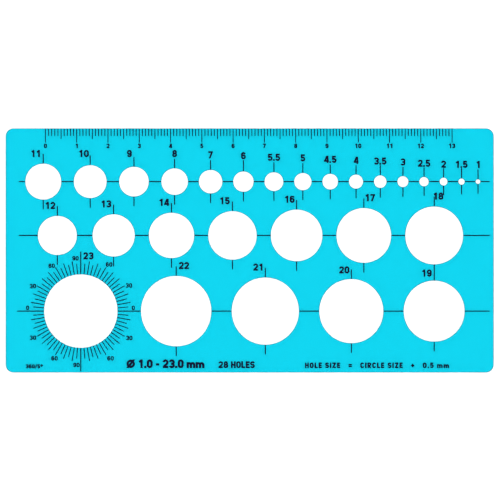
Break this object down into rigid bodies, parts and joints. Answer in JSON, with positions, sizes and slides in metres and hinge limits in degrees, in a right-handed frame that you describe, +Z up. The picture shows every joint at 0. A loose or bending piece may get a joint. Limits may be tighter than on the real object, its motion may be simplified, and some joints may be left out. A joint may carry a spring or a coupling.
{
  "type": "circle template",
  "caption": "Flat drawing template of tinted clear plastic with rows of round holes for drawing circles, a printed centimetre ruler edge and a protractor ring.",
  "frame": {"origin": "middle of the sheet's outline, on the surface that it lies on", "axes": "+X along the ruler edge, towards the higher centimetre numbers; +Y across the sheet, towards the ruler edge; +Z up, out of the printed face"},
  "size_m": [0.156, 0.078, 0.001],
  "materials": {
    "tinted_plastic": "clear cyan tinted plastic sheet, smooth and glossy",
    "black_ink": "thin black screen printed ink"
  },
  "bodies": {
    "root": {"template_plate": "tinted_plastic", "ruler_centimetre_lines": "black_ink", "ruler_half_centimetre_lines": "black_ink", "ruler_millimetre_lines": "black_ink", "ruler_numerals": "black_ink", "upper_row_centre_line": "black_ink", "upper_row_centre_marks": "black_ink", "upper_row_numerals": "black_ink", "middle_row_centre_line": "black_ink", "middle_row_centre_marks": "black_ink", "middle_row_numerals": "black_ink", "lower_row_centre_line": "black_ink", "lower_row_centre_marks": "black_ink", "lower_row_numerals": "black_ink", "protractor_ten_degree_lines": "black_ink", "protractor_five_degree_lines": "black_ink", "protractor_numerals": "black_ink", "protractor_legend": "black_ink", "size_range_legend": "black_ink", "hole_count_legend": "black_ink", "allowance_legend": "black_ink"}
  },
  "joints": []
}
